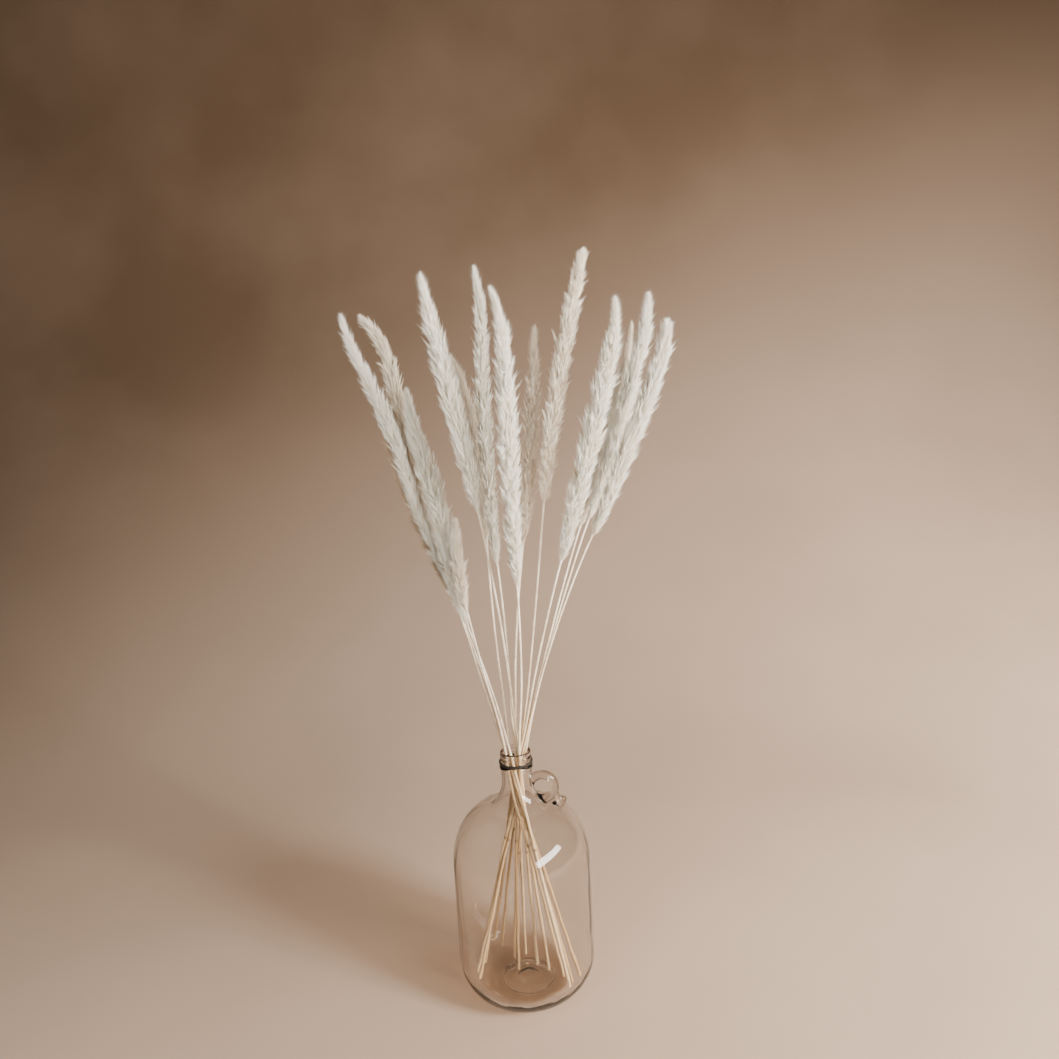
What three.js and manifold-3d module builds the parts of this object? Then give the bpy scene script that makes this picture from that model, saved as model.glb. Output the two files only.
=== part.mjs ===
// A bunch of pampas grass standing in a clear glass jug: stems, feathery plumes, the jug and its finger
// ring, and the black band round the jug's neck. Millimetres, +Z up, origin at the centre of the flat base.
import * as THREE from 'three';
import { mergeVertices } from 'three/addons/utils/BufferGeometryUtils.js';
import Module from 'manifold-3d';

const wasm = await Module();
wasm.setup();

// ---- Driving dimensions ----------------------------------------------------------------------------------

// The jug's body
const jugHeight = 292;
const jugRadius = 80;
const glassWall = 3.5;
const floorThickness = 6;
const heelRadius = 43;
const wallHeight = 160; // where the straight wall ends and the shoulder begins
const shoulderRise = 66;
const shoulderReach = 50;
const shoulderTurn = 0.47 * Math.PI; // the shoulder's arc stops just short of flat

// The jug's neck and mouth
const neckRadius = 17.5;
const neckLength = 34; // the straight neck with its mouth, above the curve from the shoulder
const sweepIn = 0.4; // the curve from shoulder to neck leaves with a handle this share of its reach
const sweepStart = 1.5; // and rising this much
const sweepUp = 0.5; // and arrives with a handle this share of its rise
const finishHeight = 15; // from the top of the bead to the mouth
const beadHeight = 6;
const beadProud = 1.8;
const lipRound = 1.2;

// The black band round the neck
const bandHeight = 3.4;
const bandThickness = 1.4;
const fitGap = 0.3;

// The finger ring
const fingerHole = 18.5;
const ringThickness = 10.6;
const ringDrop = 46; // from the mouth down to the middle of the hole
const ringStandOff = 1.6; // from the neck to the edge of the hole
const tailRootOut = 0.9; // where the tail leaves the ring, as shares of the ring's middle radius
const tailRootDown = 0.4;
const tailReach = 22; // the ring's tail ends this far out and down from the middle of the hole
const tailDrop = 20;
const tailThickness = 9.4;

// The stalks
const stemFootDiameter = 3.8;
const stemCollarDiameter = 2.4;
const plumeCollarDiameter = 4;
const crossingDrop = 12; // the stems cross this far below the mouth
const stemClearance = 0.6;
const plumeClearance = 1.2;
const footClearance = 0.8;
const plumeFullness = 0.6; // below 1 a plume is blunter than an arch
const nodStart = 0.75; // a plume nods over the rest of its length

// Facets
const jugSides = 36;
const stemSides = 6;
const plumeSides = 8;
const stemStep = 24;
const plumeRings = 12;
const curveSteps = 4;
const ringSides = 10;
const ringSections = 22;
const barCapSteps = 3;
const pointMerge = 1e-4;
const pointSpacing = 0.01;

// Each stalk: where it crosses the neck (to the right, to the back), its lean to the right in degrees at the
// foot, at the collar and at the tip, how much further its last quarter nods, its lean to the back, and the
// lengths and girth.
const stalks = [
  { slot: [-10, -1], lean: [-15.3, -12, -30], nod: 24, back: 6, stem: 482, plume: 343, girth: 20 },
  { slot: [-7.5, 2], lean: [-12.5, -18.5, -3.5], nod: -59, back: 6.5, stem: 476, plume: 343, girth: 25 },
  { slot: [-3, -9], lean: [-11, -19.5, -2.5], nod: -1, back: 6.5, stem: 443, plume: 279, girth: 29 },
  { slot: [-9, -5], lean: [-10.5, -12, 7.5], nod: -12, back: 0, stem: 460, plume: 104, girth: 14 },
  { slot: [3.5, -8], lean: [-1.5, -8.5, -11.5], nod: 8, back: -6, stem: 567, plume: 247, girth: 24 },
  { slot: [-3.5, 4], lean: [-6, 0, -12.5], nod: -22, back: -1, stem: 532, plume: 203, girth: 17 },
  { slot: [-2.5, -3.5], lean: [2, -4, 5.5], nod: -20, back: -3.5, stem: 503, plume: 314, girth: 20 },
  { slot: [5.5, -11], lean: [5, -0.5, 1.5], nod: -27, back: -9.5, stem: 493, plume: 305, girth: 24 },
  { slot: [0.5, 1], lean: [1, 9, 3], nod: 3, back: -8, stem: 535, plume: 225, girth: 16 },
  { slot: [5.5, 0], lean: [8.5, 7, 16.5], nod: -5, back: -10, stem: 585, plume: 251, girth: 19 },
  { slot: [4.5, -5], lean: [10.5, 16, 14], nod: -24, back: -12, stem: 533, plume: 270, girth: 24 },
  { slot: [8, 6], lean: [14, 19.5, 17], nod: -15, back: 3.5, stem: 554, plume: 238, girth: 15 },
  { slot: [7.5, 3.5], lean: [14.5, 21.5, 16.5], nod: -21, back: 1, stem: 567, plume: 254, girth: 23 },
  { slot: [7, 0], lean: [13, 25.5, 20.5], nod: -26, back: -4, stem: 553, plume: 239, girth: 22 },
];

// ---- Materials -------------------------------------------------------------------------------------------

const glass = new THREE.MeshStandardMaterial({ color: 0xd9d6cf, roughness: 0.05, metalness: 0 });
const blackPlastic = new THREE.MeshStandardMaterial({ color: 0x14120f, roughness: 0.45, metalness: 0 });
const driedCulm = new THREE.MeshStandardMaterial({ color: 0xdcc59c, roughness: 0.6, metalness: 0 });
const driedPlume = new THREE.MeshStandardMaterial({ color: 0xe6dccb, roughness: 0.95, metalness: 0 });

const bunch = new THREE.Group();

function addNode(name, geometry, material) {
  const mesh = new THREE.Mesh(geometry, material);
  mesh.name = name;
  bunch.add(mesh);
}

// ---- Solids ----------------------------------------------------------------------------------------------

function solid(geometry) {
  const bare = geometry.clone();
  bare.deleteAttribute('normal');
  bare.deleteAttribute('uv');
  const closed = mergeVertices(bare, pointMerge);
  const mesh = new wasm.Mesh({
    numProp: 3,
    vertProperties: new Float32Array(closed.attributes.position.array),
    triVerts: new Uint32Array(closed.index.array),
  });
  return new wasm.Manifold(mesh);
}

function geometryOf(manifold) {
  const mesh = manifold.getMesh();
  const geometry = new THREE.BufferGeometry();
  geometry.setAttribute('position', new THREE.BufferAttribute(mesh.vertProperties, 3));
  geometry.setIndex(new THREE.BufferAttribute(mesh.triVerts, 1));
  geometry.computeVertexNormals();
  return geometry;
}

// A turned solid that stands on +Z, from an outline of (radius, height) points.
function turned(outline, sides) {
  return new THREE.LatheGeometry(outline, sides).rotateX(Math.PI / 2);
}

// ---- The jug ---------------------------------------------------------------------------------------------

const neckStart = jugHeight - neckLength;
const beadTop = jugHeight - finishHeight;
const beadFoot = beadTop - beadHeight;

// The body's outline up to the neck. An inset of the glass wall gives the inside of the same shape.
function bodyOutline(inset, floor) {
  const shoulderCentre = jugRadius - shoulderReach;
  const heelCentre = jugRadius - heelRadius;
  const neck = neckRadius - inset;
  const path = new THREE.Path();
  path.moveTo(0, floor);
  path.lineTo(heelCentre, floor);
  path.absellipse(heelCentre, heelRadius, heelRadius - inset, heelRadius - floor, -Math.PI / 2, 0, false, 0);
  const across = shoulderReach - inset;
  const up = shoulderRise - inset;
  path.absellipse(shoulderCentre, wallHeight, across, up, 0, shoulderTurn, false, 0);
  const top = path.currentPoint.clone();
  const towardsNeck = sweepIn * (top.x - neck);
  const belowNeck = sweepUp * (neckStart - top.y);
  path.bezierCurveTo(top.x - towardsNeck, top.y + sweepStart, neck, neckStart - belowNeck, neck, neckStart);
  return path;
}

function distinct(points) {
  return points.filter((p, i) => i === 0 || p.distanceTo(points[i - 1]) > pointSpacing);
}

function outerOutline() {
  const path = bodyOutline(0, 0);
  path.lineTo(neckRadius, beadFoot);
  const beadMiddle = (beadFoot + beadTop) / 2;
  path.absellipse(neckRadius, beadMiddle, beadProud, beadHeight / 2, -Math.PI / 2, Math.PI / 2);
  path.lineTo(neckRadius, jugHeight - lipRound);
  path.lineTo(neckRadius - lipRound, jugHeight);
  path.lineTo(0, jugHeight);
  return distinct(path.getPoints(curveSteps));
}

function innerOutline() {
  const path = bodyOutline(glassWall, floorThickness);
  path.lineTo(neckRadius - glassWall, jugHeight - lipRound);
  path.lineTo(neckRadius - glassWall + lipRound / 2, jugHeight + fitGap);
  path.lineTo(0, jugHeight + fitGap);
  return distinct(path.getPoints(curveSteps));
}

// A straight bar with round ends, between two points in the ring's plane given as (right, up).
function roundBar(from, to, thickness) {
  const run = new THREE.Vector2().subVectors(to, from);
  const bar = new THREE.CapsuleGeometry(thickness / 2, run.length(), barCapSteps, ringSides);
  bar.rotateX(Math.PI / 2).rotateY(Math.PI / 2 - run.angle());
  return bar.translate((from.x + to.x) / 2, 0, (from.y + to.y) / 2);
}

// The finger ring stands beside the neck, its hole running front to back, with its tail and its foot on the
// shoulder. It is a solid of its own, a small gap clear of the jug, so that its hole stays open in a
// simulation's convex pieces.
function fingerRing() {
  const middle = (fingerHole + ringThickness) / 2;
  const centre = new THREE.Vector2(neckRadius + fingerHole / 2 + ringStandOff, jugHeight - ringDrop);
  const ring = new THREE.TorusGeometry(middle, ringThickness / 2, ringSides, ringSections);
  ring.rotateX(Math.PI / 2).translate(centre.x, 0, centre.y);
  const at = (right, up) => new THREE.Vector2(centre.x + right, centre.y + up);
  const tailRoot = at(tailRootOut * middle, -tailRootDown * middle);
  const tail = roundBar(tailRoot, at(tailReach, -tailDrop), tailThickness);
  const foot = roundBar(at(0, -middle), at(0, -middle - ringThickness / 2), ringThickness);
  const cover = bodyOutline(-fitGap, 0);
  cover.lineTo(neckRadius + fitGap, jugHeight);
  cover.lineTo(0, jugHeight);
  const jugAndGap = solid(turned(distinct(cover.getPoints(curveSteps)), jugSides));
  return solid(ring).add(solid(tail)).add(solid(foot)).subtract(jugAndGap);
}

const inside = innerOutline();
const jug = solid(turned(outerOutline(), jugSides)).subtract(solid(turned(inside, jugSides)));
addNode('jug', geometryOf(jug), glass);
addNode('finger_ring', geometryOf(fingerRing()), glass);

// The inside radius of the jug at a height, between the facets.
const facetFit = Math.cos(Math.PI / jugSides);
function insideRadius(height) {
  for (let i = 1; i < inside.length; i += 1) {
    const [low, high] = [inside[i - 1], inside[i]];
    if (high.y > low.y && height <= high.y) {
      const share = Math.max(0, (height - low.y) / (high.y - low.y));
      return facetFit * THREE.MathUtils.lerp(low.x, high.x, share);
    }
  }
  return Infinity;
}

const bandInside = neckRadius / facetFit + fitGap;
const bandFoot = beadTop + fitGap;
const bandSection = [
  [bandInside, bandFoot],
  [bandInside + bandThickness, bandFoot],
  [bandInside + bandThickness, bandFoot + bandHeight],
  [bandInside, bandFoot + bandHeight],
  [bandInside, bandFoot],
].map(([radius, height]) => new THREE.Vector2(radius, height));
addNode('neck_band', turned(bandSection, jugSides), blackPlastic);

// ---- The stalks' routes ----------------------------------------------------------------------------------

const level = 6; // the routes are worked out at levels this far apart
const lowest = floorThickness + footClearance;
const crossing = jugHeight - crossingDrop;
const radians = THREE.MathUtils.degToRad;

// A plume is fullest at its middle and blunt towards both ends.
function plumeShare(part) {
  return Math.sin(Math.PI * part) ** plumeFullness;
}

function stalkRadius(stalk, length) {
  if (length < stalk.stem) {
    return THREE.MathUtils.lerp(stemFootDiameter, stemCollarDiameter, length / stalk.stem) / 2;
  }
  const part = Math.min(1, (length - stalk.stem) / stalk.plume);
  return Math.max(plumeCollarDiameter, stalk.girth * plumeShare(part)) / 2;
}

// The lean to the right, in radians, at a length from the foot. Below the crossing a stem is straight.
function leanAt(stalk, length, lengthToCrossing) {
  const [foot, collar, tip] = stalk.lean;
  if (length < stalk.stem) {
    const bent = Math.max(0, (length - lengthToCrossing) / (stalk.stem - lengthToCrossing));
    return radians(THREE.MathUtils.lerp(foot, collar, bent));
  }
  const part = (length - stalk.stem) / stalk.plume;
  const nodding = Math.max(0, (part - nodStart) / (1 - nodStart)) ** 2;
  return radians(THREE.MathUtils.lerp(collar, tip, part) + stalk.nod * nodding);
}

// A route is the stalk's centre line: one point at each level from the jug's floor to the tip.
function route(stalk) {
  const footSlope = Math.tan(radians(stalk.lean[0]));
  const backSlope = Math.tan(radians(stalk.back));
  const below = crossing - lowest;
  const [right, back] = stalk.slot;
  const point = new THREE.Vector3(right - footSlope * below, back - backSlope * below, lowest);
  const lengthToCrossing = below * Math.hypot(1, footSlope, backSlope);
  const points = [point.clone()];
  const whole = stalk.stem + stalk.plume;
  let length = 0;
  while (whole - length > pointSpacing) {
    const slope = Math.tan(leanAt(stalk, length, lengthToCrossing));
    const stretch = Math.hypot(1, slope, backSlope);
    const rise = Math.min(level, (whole - length) / stretch);
    point.add(new THREE.Vector3(slope * rise, backSlope * rise, rise));
    points.push(point.clone());
    length += rise * stretch;
  }
  return points;
}

// How far each point of a route reaches sideways: the stalk's radius, stretched by its slope.
function reaches(stalk, points) {
  let length = 0;
  return points.map((p, i) => {
    const next = points[Math.min(i + 1, points.length - 1)];
    const last = points[Math.max(i - 1, 0)];
    const stretch = next.distanceTo(last) / (next.z - last.z);
    length += i > 0 ? p.distanceTo(last) : 0;
    return { reach: stalkRadius(stalk, length) * stretch, plume: length > stalk.stem };
  });
}

// A push at one level bends the stalk over this many levels each way, so it has no kink.
const bendSpread = 16;
function push(points, at, right, back) {
  const first = Math.max(0, at - bendSpread);
  const last = Math.min(points.length - 1, at + bendSpread);
  for (let i = first; i <= last; i += 1) {
    const share = Math.cos((Math.PI * (i - at)) / (2 * bendSpread + 2)) ** 2;
    points[i].x += right * share;
    points[i].y += back * share;
  }
}

// Two stalks are pushed apart where they touch most.
function separate(a, b) {
  let worst = 0;
  let at = -1;
  const levels = Math.min(a.points.length, b.points.length);
  for (let i = 0; i < levels; i += 1) {
    const apart = Math.hypot(a.points[i].x - b.points[i].x, a.points[i].y - b.points[i].y);
    const clearance = a.sides[i].plume && b.sides[i].plume ? plumeClearance : stemClearance;
    const short = a.sides[i].reach + b.sides[i].reach + clearance - apart;
    if (short > worst) {
      worst = short;
      at = i;
    }
  }
  if (at < 0) return 0;
  const right = a.points[at].x - b.points[at].x;
  const back = a.points[at].y - b.points[at].y;
  const apart = Math.hypot(right, back) || 1;
  const half = worst / 2;
  push(a.points, at, (half * right) / apart, (half * back) / apart);
  push(b.points, at, (-half * right) / apart, (-half * back) / apart);
  return worst;
}

// A stem stays inside the shoulder and the neck.
function keepInside(stalk) {
  let worst = 0;
  let at = -1;
  stalk.points.forEach((p, i) => {
    if (p.z < wallHeight) return;
    const over = Math.hypot(p.x, p.y) + stalk.sides[i].reach + stemClearance - insideRadius(p.z);
    if (over > worst) {
      worst = over;
      at = i;
    }
  });
  if (at < 0) return 0;
  const out = Math.hypot(stalk.points[at].x, stalk.points[at].y);
  push(stalk.points, at, (-worst * stalk.points[at].x) / out, (-worst * stalk.points[at].y) / out);
  return worst;
}

const settleRounds = 600;
const settled = 0.05;
function settle(all) {
  for (let round = 0; round < settleRounds; round += 1) {
    let worst = 0;
    all.forEach((stalk) => {
      stalk.sides = reaches(stalk, stalk.points);
    });
    all.forEach((a, i) => all.slice(i + 1).forEach((b) => {
      worst = Math.max(worst, separate(a, b));
    }));
    all.forEach((stalk) => {
      worst = Math.max(worst, keepInside(stalk));
    });
    if (worst < settled) return;
  }
}

// The lengths along a route at which its points lie.
function lengthsOf(points) {
  const lengths = [0];
  points.slice(1).forEach((p, i) => lengths.push(lengths[i] + p.distanceTo(points[i])));
  return lengths;
}

// The centre at a length along a route, and the number of the next point.
function placeAt(points, lengths, length) {
  let next = 1;
  while (next < points.length - 1 && lengths[next] < length) next += 1;
  const share = (length - lengths[next - 1]) / (lengths[next] - lengths[next - 1]);
  return { next, centre: new THREE.Vector3().lerpVectors(points[next - 1], points[next], share) };
}

// A stem's foot rests just clear of the jug's floor or, where it leans that far, of the heel or the wall.
const footStep = 0.2;
function footLength(stalk, lengths) {
  for (let length = 0; length < stalk.stem; length += footStep) {
    const { next, centre } = placeAt(stalk.points, lengths, length);
    const reach = Math.hypot(centre.x, centre.y) + stalk.sides[next].reach + footClearance;
    if (centre.z > wallHeight || reach < insideRadius(centre.z - footClearance)) return length;
  }
  return 0;
}

// ---- The stalks' solids ----------------------------------------------------------------------------------

// A round solid along a route: a turned solid whose rings are moved onto the centre line.
function along(points, lengths, profile, sides) {
  const frameAt = (length) => {
    const { next, centre } = placeAt(points, lengths, length);
    const ahead = points[Math.min(next + 1, points.length - 1)];
    const behind = points[Math.max(next - 2, 0)];
    const tangent = new THREE.Vector3().subVectors(ahead, behind).normalize();
    const right = new THREE.Vector3(0, 1, 0).cross(tangent).normalize();
    return { centre, right, back: new THREE.Vector3().crossVectors(tangent, right) };
  };
  const geometry = new THREE.LatheGeometry(profile, sides);
  const position = geometry.attributes.position;
  for (let i = 0; i < position.count; i += 1) {
    const { centre, right, back } = frameAt(position.getY(i));
    centre.addScaledVector(right, position.getX(i)).addScaledVector(back, -position.getZ(i));
    position.setXYZ(i, centre.x, centre.y, centre.z);
  }
  geometry.computeVertexNormals();
  return geometry;
}

function stemProfile(stalk, start, end) {
  const steps = Math.ceil((end - start) / stemStep);
  const profile = [new THREE.Vector2(0, start)];
  for (let i = 0; i <= steps; i += 1) {
    const length = THREE.MathUtils.lerp(start, end, i / steps);
    profile.push(new THREE.Vector2(stalkRadius(stalk, Math.min(length, stalk.stem - fitGap)), length));
  }
  profile.push(new THREE.Vector2(0, end));
  return profile;
}

function plumeProfile(stalk, start, end) {
  const profile = [new THREE.Vector2(0, start)];
  for (let i = 0; i < plumeRings; i += 1) {
    const part = i / plumeRings;
    const radius = Math.max(plumeCollarDiameter, stalk.girth * plumeShare(part)) / 2;
    profile.push(new THREE.Vector2(radius, THREE.MathUtils.lerp(start, end, part)));
  }
  profile.push(new THREE.Vector2(0, end));
  return profile;
}

stalks.forEach((stalk) => {
  stalk.points = route(stalk);
});
settle(stalks);

stalks.forEach((stalk, i) => {
  const number = String(i + 1).padStart(2, '0');
  const lengths = lengthsOf(stalk.points);
  const stem = stemProfile(stalk, footLength(stalk, lengths), stalk.stem - fitGap);
  const plume = plumeProfile(stalk, stalk.stem, lengths[lengths.length - 1]);
  addNode(`stem_${number}`, along(stalk.points, lengths, stem, stemSides), driedCulm);
  addNode(`plume_${number}`, along(stalk.points, lengths, plume, plumeSides), driedPlume);
});

export default bunch;
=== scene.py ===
# %% [markdown]
# A bunch of dried pampas grass standing in a clear glass jug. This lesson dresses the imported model, which
# fixes every size and place, in finer pieces: a blown-glass jug with its screw mouth and finger ring, the
# black band round its neck, fourteen thin culms, and fourteen plumes of silky hair. Everything is in
# metres, with +Z up and the origin at the centre of the jug's base.

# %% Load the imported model
import math

import bmesh
import bpy
import numpy as np
from mathutils import Matrix, Vector


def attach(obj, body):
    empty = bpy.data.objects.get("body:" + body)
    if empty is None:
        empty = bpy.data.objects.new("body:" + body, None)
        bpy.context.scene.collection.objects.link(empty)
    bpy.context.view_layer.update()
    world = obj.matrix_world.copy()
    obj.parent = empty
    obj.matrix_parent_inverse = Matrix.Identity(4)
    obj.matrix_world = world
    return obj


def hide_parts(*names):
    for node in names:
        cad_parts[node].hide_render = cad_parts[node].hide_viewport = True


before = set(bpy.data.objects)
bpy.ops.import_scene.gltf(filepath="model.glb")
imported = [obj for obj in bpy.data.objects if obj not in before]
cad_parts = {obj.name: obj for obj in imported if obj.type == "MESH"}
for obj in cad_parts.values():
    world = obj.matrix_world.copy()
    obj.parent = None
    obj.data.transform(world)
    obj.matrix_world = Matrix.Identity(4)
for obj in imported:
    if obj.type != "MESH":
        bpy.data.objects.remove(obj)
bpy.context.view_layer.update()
scene = bpy.context.scene
MM = 0.001
STALKS = 14

# %% [markdown]
# The camera stands a little above the plumes' middle and looks slightly down, turned a few degrees on its
# own axis. It is made from three directions, forward, right and up, because those fill a matrix directly
# and leave no doubt about the order of turns.

# %% Camera
CAMERA_PLACE = Vector((0.0304, -0.865, 0.676))
LOOK_DOWN = math.radians(8.5)
TURN = math.radians(-3.18)
LENS = 27.03

forward = Vector((0, math.cos(LOOK_DOWN), -math.sin(LOOK_DOWN)))
level_right = Vector((1, 0, 0))
level_up = level_right.cross(forward)
right = level_right * math.cos(TURN) + level_up * math.sin(TURN)
up = level_up * math.cos(TURN) - level_right * math.sin(TURN)

camera = bpy.data.objects.new("camera", bpy.data.cameras.new("camera"))
camera.data.lens = LENS
scene.collection.objects.link(camera)
facing = Matrix((right, up, -forward)).transposed().to_4x4()
camera.matrix_world = Matrix.Translation(CAMERA_PLACE) @ facing
scene.camera = camera
print("camera looks along", tuple(round(x, 3) for x in forward))

# %% [markdown]
# Materials and Geometry Nodes trees are both built from nodes, so three small helpers serve them all. A
# socket is looked up by its identifier before its name, because several sockets of one node can share a
# name. A group's own sockets are made on its interface.

# %% Node helpers
def socket_of(sockets, key):
    """The socket with that identifier, or else with that name."""
    exact = [s for s in sockets if s.identifier == key]
    return exact[0] if exact else next(s for s in sockets if s.name == key)


def put(tree, kind, settings=None, **inputs):
    """Adds a node, sets its properties, and links or fills its inputs. An underscore stands for a space."""
    node = tree.nodes.new(kind)
    for name, value in (settings or {}).items():
        setattr(node, name, value)
    for name, value in inputs.items():
        key = name if name in [s.identifier for s in node.inputs] else name.replace("_", " ")
        target = socket_of(node.inputs, key)
        if isinstance(value, bpy.types.NodeSocket):
            tree.links.new(value, target)
        else:
            target.default_value = value
    return node


def group_of(name, sockets, kind="ShaderNodeTree"):
    """A node group with its sockets, given as (name, socket type, default or None, "INPUT" or "OUTPUT")."""
    group = bpy.data.node_groups.new(name, kind)
    for label, socket_type, default, side in sockets:
        made = group.interface.new_socket(label, in_out=side, socket_type=socket_type)
        if default is not None:
            made.default_value = default
    return group


print("node helpers:", ", ".join(helper.__name__ for helper in (socket_of, put, group_of)))

# %% [markdown]
# Three finishes here have the same fault to show: straw, silk and paper all yellow in uneven patches. One
# node group paints those patches, so each material only says how large and how strong they are. It puts
# out a colour only: the Principled shader stays in the material.

# %% The shared group for uneven ageing
PATCH_START = 0.38  # the noise level where a patch begins to show
PATCH_FULL = 0.68  # and where it is full
ageing = group_of("Uneven ageing", [
    ("Fresh", "NodeSocketColor", (1, 1, 1, 1), "INPUT"),
    ("Aged", "NodeSocketColor", (0.5, 0.4, 0.3, 1), "INPUT"),
    ("Patch Scale", "NodeSocketFloat", 20.0, "INPUT"),
    ("Amount", "NodeSocketFloat", 0.5, "INPUT"),
    ("Vector", "NodeSocketVector", None, "INPUT"),
    ("Color", "NodeSocketColor", None, "OUTPUT"),
])
given = put(ageing, "NodeGroupInput").outputs
patches = put(ageing, "ShaderNodeTexNoise", Vector=given["Vector"], Scale=given["Patch Scale"], Detail=4.0)
clearer = put(ageing, "ShaderNodeMapRange", Value=patches.outputs["Fac"], From_Min=PATCH_START,
              From_Max=PATCH_FULL)
share = put(ageing, "ShaderNodeMath", {"operation": "MULTIPLY"}, Value=clearer.outputs["Result"],
            Value_001=given["Amount"])
blend = put(ageing, "ShaderNodeMix", {"data_type": "RGBA"}, Factor_Float=share.outputs["Value"],
            A_Color=given["Fresh"], B_Color=given["Aged"])
put(ageing, "NodeGroupOutput", Color=socket_of(blend.outputs, "Result_Color"))
print("shared group:", ageing.name, "with", len(ageing.nodes), "nodes")

# %% [markdown]
# A material starts as a Principled shader whose even values are set on its own sockets. Its patterns are
# read in Object coordinates, which stay put when the piece is exported.

# %% Material helpers
def principled(name, **even):
    """A new material; returns it with its tree, its Principled shader and its Object coordinates."""
    material = bpy.data.materials.new(name)
    material.use_nodes = True
    tree = material.node_tree
    shader = tree.nodes["Principled BSDF"]
    for label, value in even.items():
        shader.inputs[label.replace("_", " ")].default_value = value
    place = put(tree, "ShaderNodeTexCoord").outputs["Object"]
    return material, tree, shader, place


def aged(tree, place, fresh, old, scale, amount):
    """Places the shared ageing group in a material; returns its colour."""
    node = put(tree, "ShaderNodeGroup", {"node_tree": ageing}, Fresh=fresh, Aged=old, Patch_Scale=scale,
               Amount=amount, Vector=place)
    return node.outputs["Color"]


def bump(tree, shader, height, strength, distance):
    """Raises the surface by a pattern."""
    node = put(tree, "ShaderNodeBump", Height=height, Strength=strength, Distance=distance)
    tree.links.new(node.outputs["Normal"], shader.inputs["Normal"])


print("material helpers:", ", ".join(helper.__name__ for helper in (principled, aged, bump)))

# %% [markdown]
# The set is one sheet of warm beige paper, which runs along the floor and curves up into the backdrop.
# Its colour is mixed along one slanted direction: painted shade, darker towards the sheet's upper left,
# where it lies in more shade. On top of that come faint aged patches and a very fine grain.

# %% Paper
PAPER_SHADE_WAY = (-0.42, 0.0, 1.0)  # the paper darkens upwards and to the left
PAPER_SHADE_START = -0.15
PAPER_SHADE_END = 1.5
PAPER_COLOUR = (0.425, 0.302, 0.218, 1)
PAPER_IN_SHADE = (0.12, 0.075, 0.045, 1)
PAPER_AGED = (0.27, 0.185, 0.13, 1)


def mixed(tree, factor, a, b):
    """A colour between a and b."""
    node = put(tree, "ShaderNodeMix", {"data_type": "RGBA"}, Factor_Float=factor, A_Color=a, B_Color=b)
    return socket_of(node.outputs, "Result_Color")


paper, tree, shader, place = principled("warm_paper", Roughness=0.9, Specular_IOR_Level=0.2)
# painted shade: the paper's colour darkens upwards and to the left
away = put(tree, "ShaderNodeVectorMath", {"operation": "DOT_PRODUCT"}, Vector=place,
           Vector_001=PAPER_SHADE_WAY)
painted_shade_share = put(tree, "ShaderNodeMapRange", {"interpolation_type": "SMOOTHSTEP"},
                Value=away.outputs["Value"], From_Min=PAPER_SHADE_START, From_Max=PAPER_SHADE_END)
paper_with_painted_shade = mixed(tree, painted_shade_share.outputs["Result"], PAPER_COLOUR, PAPER_IN_SHADE)
colour = aged(tree, place, paper_with_painted_shade, PAPER_AGED, scale=1.7, amount=0.3)
tree.links.new(colour, shader.inputs["Base Color"])
grain = put(tree, "ShaderNodeTexNoise", Vector=place, Scale=900.0, Detail=3.0)
bump(tree, shader, grain.outputs["Fac"], strength=0.15, distance=0.0004)
print("paper nodes:", len(tree.nodes))

# %% [markdown]
# The sheet has no corner, so no line shows behind the jug. A strip swept sideways from a short outline
# makes that: flat on the floor, a generous quarter bend, and straight up.

# %% Floor and backdrop
PAPER_FRONT = -2.2
PAPER_BEND = 0.45  # where the floor starts to curve up
BEND_RADIUS = 1.5
PAPER_TOP = 3.2
PAPER_HALF_WIDTH = 3.0
BEND_STEPS = 24


def mesh_object(name, vertices, faces, material=None):
    """A smooth mesh object at the origin, linked to the scene."""
    mesh = bpy.data.meshes.new(name)
    mesh.from_pydata([tuple(v) for v in vertices], [], faces)
    mesh.shade_smooth()
    if material:
        mesh.materials.append(material)
    made = bpy.data.objects.new(name, mesh)
    scene.collection.objects.link(made)
    return made


outline = [(PAPER_FRONT, 0.0), (0.0, 0.0)]
for step in range(BEND_STEPS + 1):
    angle = math.pi / 2 * step / BEND_STEPS
    outline.append((PAPER_BEND + BEND_RADIUS * math.sin(angle), BEND_RADIUS * (1 - math.cos(angle))))
outline.append((PAPER_BEND + BEND_RADIUS, PAPER_TOP))
vertices = [(side * PAPER_HALF_WIDTH, y, z) for y, z in outline for side in (-1, 1)]
faces = [(2 * i, 2 * i + 1, 2 * i + 3, 2 * i + 2) for i in range(len(outline) - 1)]
backdrop = mesh_object("paper_backdrop", vertices, faces, paper)
print("paper points:", len(outline))

# %% [markdown]
# Daylight comes from a long window at the front right. Its reflection is the bright slanted patch on the
# jug's shoulder, so the light is turned a little about its own direction. A light that wide throws hardly
# any shadow, so part of the daylight comes from a smaller one close by, which glass doesn't show. Three
# weaker sheets of light keep the shaded sides open and brighten the paper, and the air of the room adds a
# little from everywhere.

# %% Lights
WINDOW_ROLL = math.radians(12)
DAYLIGHT = (1.0, 0.97, 0.92)
WARM_BOUNCE = (1.0, 0.96, 0.91)
COOL_BOUNCE = (0.97, 1.0, 0.98)
PAPER_BOUNCE = (1.0, 0.97, 0.94)
ROOM_TINT = (1.0, 0.93, 0.86, 1)
ROOM_STRENGTH = 0.17


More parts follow.
